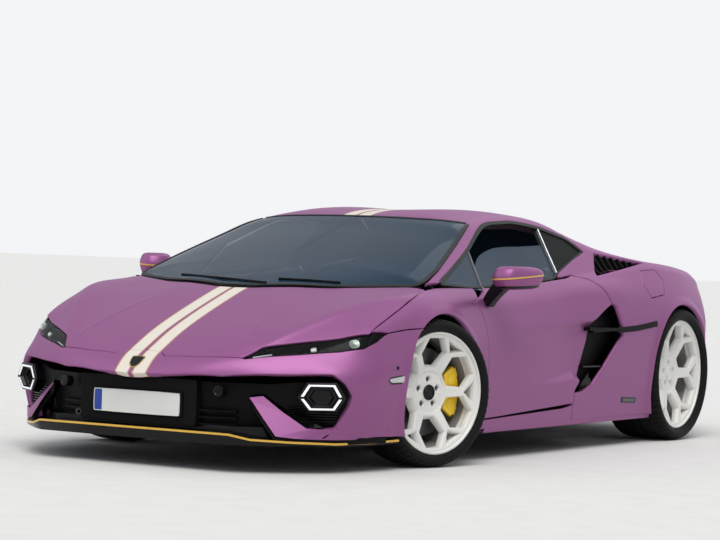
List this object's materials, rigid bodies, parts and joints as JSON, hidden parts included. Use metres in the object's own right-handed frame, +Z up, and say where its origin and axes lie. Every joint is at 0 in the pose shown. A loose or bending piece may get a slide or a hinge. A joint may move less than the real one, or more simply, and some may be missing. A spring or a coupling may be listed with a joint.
{
  "type": "supercar",
  "caption": "Low mid-engined two-seat supercar in satin violet with off-white stripes and white Y-spoke wheels; doors, lids, steering and wheels move",
  "frame": {"origin": "on the ground under the middle of the car", "axes": "+X to the car's left, +Y to its tail, +Z up"},
  "size_m": [2.264, 4.706, 1.215],
  "materials": {
    "body_paint": "satin violet",
    "wheel_paint": "satin white",
    "caliper_paint": "gloss yellow",
    "black_trim": "gloss",
    "matte_trim": "matte",
    "tyre_rubber": "matte",
    "tinted_glass": "polished",
    "lamp_glass": "polished",
    "frame_metal": "matte",
    "exhaust_metal": "brushed",
    "cabin_leather": "matte"
  },
  "bodies": {
    "root": {"arch_liners": "matte_trim", "bulkhead_glass": "tinted_glass", "cowl": "black_trim", "dashboard": "cabin_leather", "diffuser": "black_trim", "engine": "frame_metal", "exhaust": "exhaust_metal", "front_boot": "matte_trim", "front_bumper": "body_paint", "front_fenders": "body_paint", "front_frame": "frame_metal", "front_grille": "matte_trim", "headlamps": "lamp_glass", "intake_lamps": "lamp_glass", "quarter_left": "body_paint", "quarter_right": "body_paint", "rear_bumper": "body_paint", "rear_calipers": "caliper_paint", "rear_frame": "frame_metal", "rear_grille": "matte_trim", "rear_uprights": "frame_metal", "roof": "body_paint", "seats": "cabin_leather", "side_ducts": "black_trim", "side_panes": "tinted_glass", "sills": "body_paint", "splitter": "black_trim", "tail_lamps": "lamp_glass", "tub": "frame_metal", "windscreen": "tinted_glass", "wipers": "black_trim", "wishbones": "frame_metal"},
    "door_left": {"door_left": "body_paint", "door_glass_left": "tinted_glass", "mirror_left": "body_paint"},
    "door_right": {"door_right": "body_paint", "door_glass_right": "tinted_glass", "mirror_right": "body_paint"},
    "front_lid": {"front_lid": "body_paint"},
    "engine_cover": {"engine_cover": "body_paint"},
    "fuel_flap": {"fuel_flap": "body_paint"},
    "steering_wheel": {"steering_wheel": "cabin_leather"},
    "knuckle_left": {"knuckle_left": "frame_metal", "caliper_front_left": "caliper_paint"},
    "knuckle_right": {"knuckle_right": "frame_metal", "caliper_front_right": "caliper_paint"},
    "wheel_front_left": {"wheel_front_left": "wheel_paint", "tyre_front_left": "tyre_rubber"},
    "wheel_front_right": {"wheel_front_right": "wheel_paint", "tyre_front_right": "tyre_rubber"},
    "wheel_rear_left": {"wheel_rear_left": "wheel_paint", "tyre_rear_left": "tyre_rubber"},
    "wheel_rear_right": {"wheel_rear_right": "wheel_paint", "tyre_rear_right": "tyre_rubber"}
  },
  "joints": [
    {"name": "steer_left", "type": "hinge", "parent": "root", "child": "knuckle_left", "pos_m": [0.8, -1.223, 0.343], "axis": [0, 0, 1], "range_deg": [-17.2, 48.8]},
    {"name": "steer_right", "type": "hinge", "parent": "root", "child": "knuckle_right", "pos_m": [-0.8, -1.223, 0.343], "axis": [0, 0, 1], "range_deg": [-17.2, 48.8]},
    {"name": "steering_wheel_turn", "type": "hinge", "parent": "root", "child": "steering_wheel", "pos_m": [0.37, -0.533, 0.73], "axis": [0, -0.9135, -0.4067], "range_deg": [-640, 230]},
    {"name": "front_left_spin", "type": "hinge", "parent": "knuckle_left", "child": "wheel_front_left", "pos_m": [0.8587, -1.23961, 0.343], "axis": [0.9622, -0.2723, 0], "continuous": true},
    {"name": "front_right_spin", "type": "hinge", "parent": "knuckle_right", "child": "wheel_front_right", "pos_m": [-0.8587, -1.20639, 0.343], "axis": [0.9622, -0.2723, 0], "continuous": true},
    {"name": "rear_left_spin", "type": "hinge", "parent": "root", "child": "wheel_rear_left", "pos_m": [0.835, 1.435, 0.361], "axis": [1, 0, 0], "continuous": true},
    {"name": "rear_right_spin", "type": "hinge", "parent": "root", "child": "wheel_rear_right", "pos_m": [-0.835, 1.435, 0.361], "axis": [1, 0, 0], "continuous": true},
    {"name": "door_left_open", "type": "hinge", "parent": "root", "child": "door_left", "pos_m": [0.956, -0.76, 0.5], "axis": [0, 0, -1], "range_deg": [0, 65]},
    {"name": "door_right_open", "type": "hinge", "parent": "root", "child": "door_right", "pos_m": [-0.956, -0.76, 0.5], "axis": [0, 0, 1], "range_deg": [0, 65]},
    {"name": "front_lid_open", "type": "hinge", "parent": "root", "child": "front_lid", "pos_m": [0, -1.192, 0.8225], "axis": [-1, 0, 0], "range_deg": [0, 60]},
    {"name": "engine_cover_open", "type": "hinge", "parent": "root", "child": "engine_cover", "pos_m": [0, 0.426, 1.187], "axis": [1, 0, 0], "range_deg": [0, 55]},
    {"name": "fuel_flap_open", "type": "hinge", "parent": "root", "child": "fuel_flap", "pos_m": [0.8996, 0.967, 0.915], "axis": [0.5007, 0, -0.8656], "range_deg": [0, 85]}
  ],
  "couplings": [
    {"joint": "steer_right", "follows": "steer_left", "ratio": 1},
    {"joint": "steering_wheel_turn", "follows": "steer_left", "ratio": -13}
  ]
}
